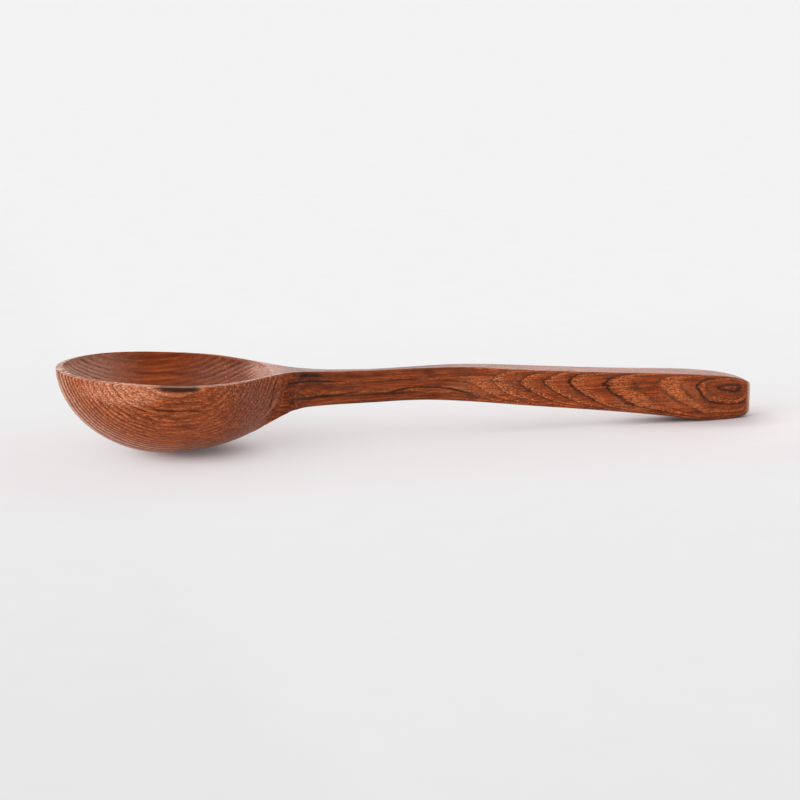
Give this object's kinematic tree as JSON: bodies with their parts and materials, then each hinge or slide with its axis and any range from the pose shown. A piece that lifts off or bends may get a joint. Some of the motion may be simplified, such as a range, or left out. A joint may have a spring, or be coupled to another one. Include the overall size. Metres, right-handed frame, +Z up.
{
  "type": "spoon",
  "caption": "Carved one-piece wooden soup spoon: deep round bowl with a flat rim, slim upright neck and a square-section handle.",
  "frame": {"origin": "on the table, under the middle of the spoon's length", "axes": "+X along the spoon from the bowl's tip towards the handle's end, +Y to the left of that, +Z up"},
  "size_m": [0.18, 0.045, 0.0217],
  "materials": {
    "wood": "satin, hand-rubbed oil on open grain"
  },
  "bodies": {
    "root": {"spoon": "wood"}
  },
  "joints": []
}
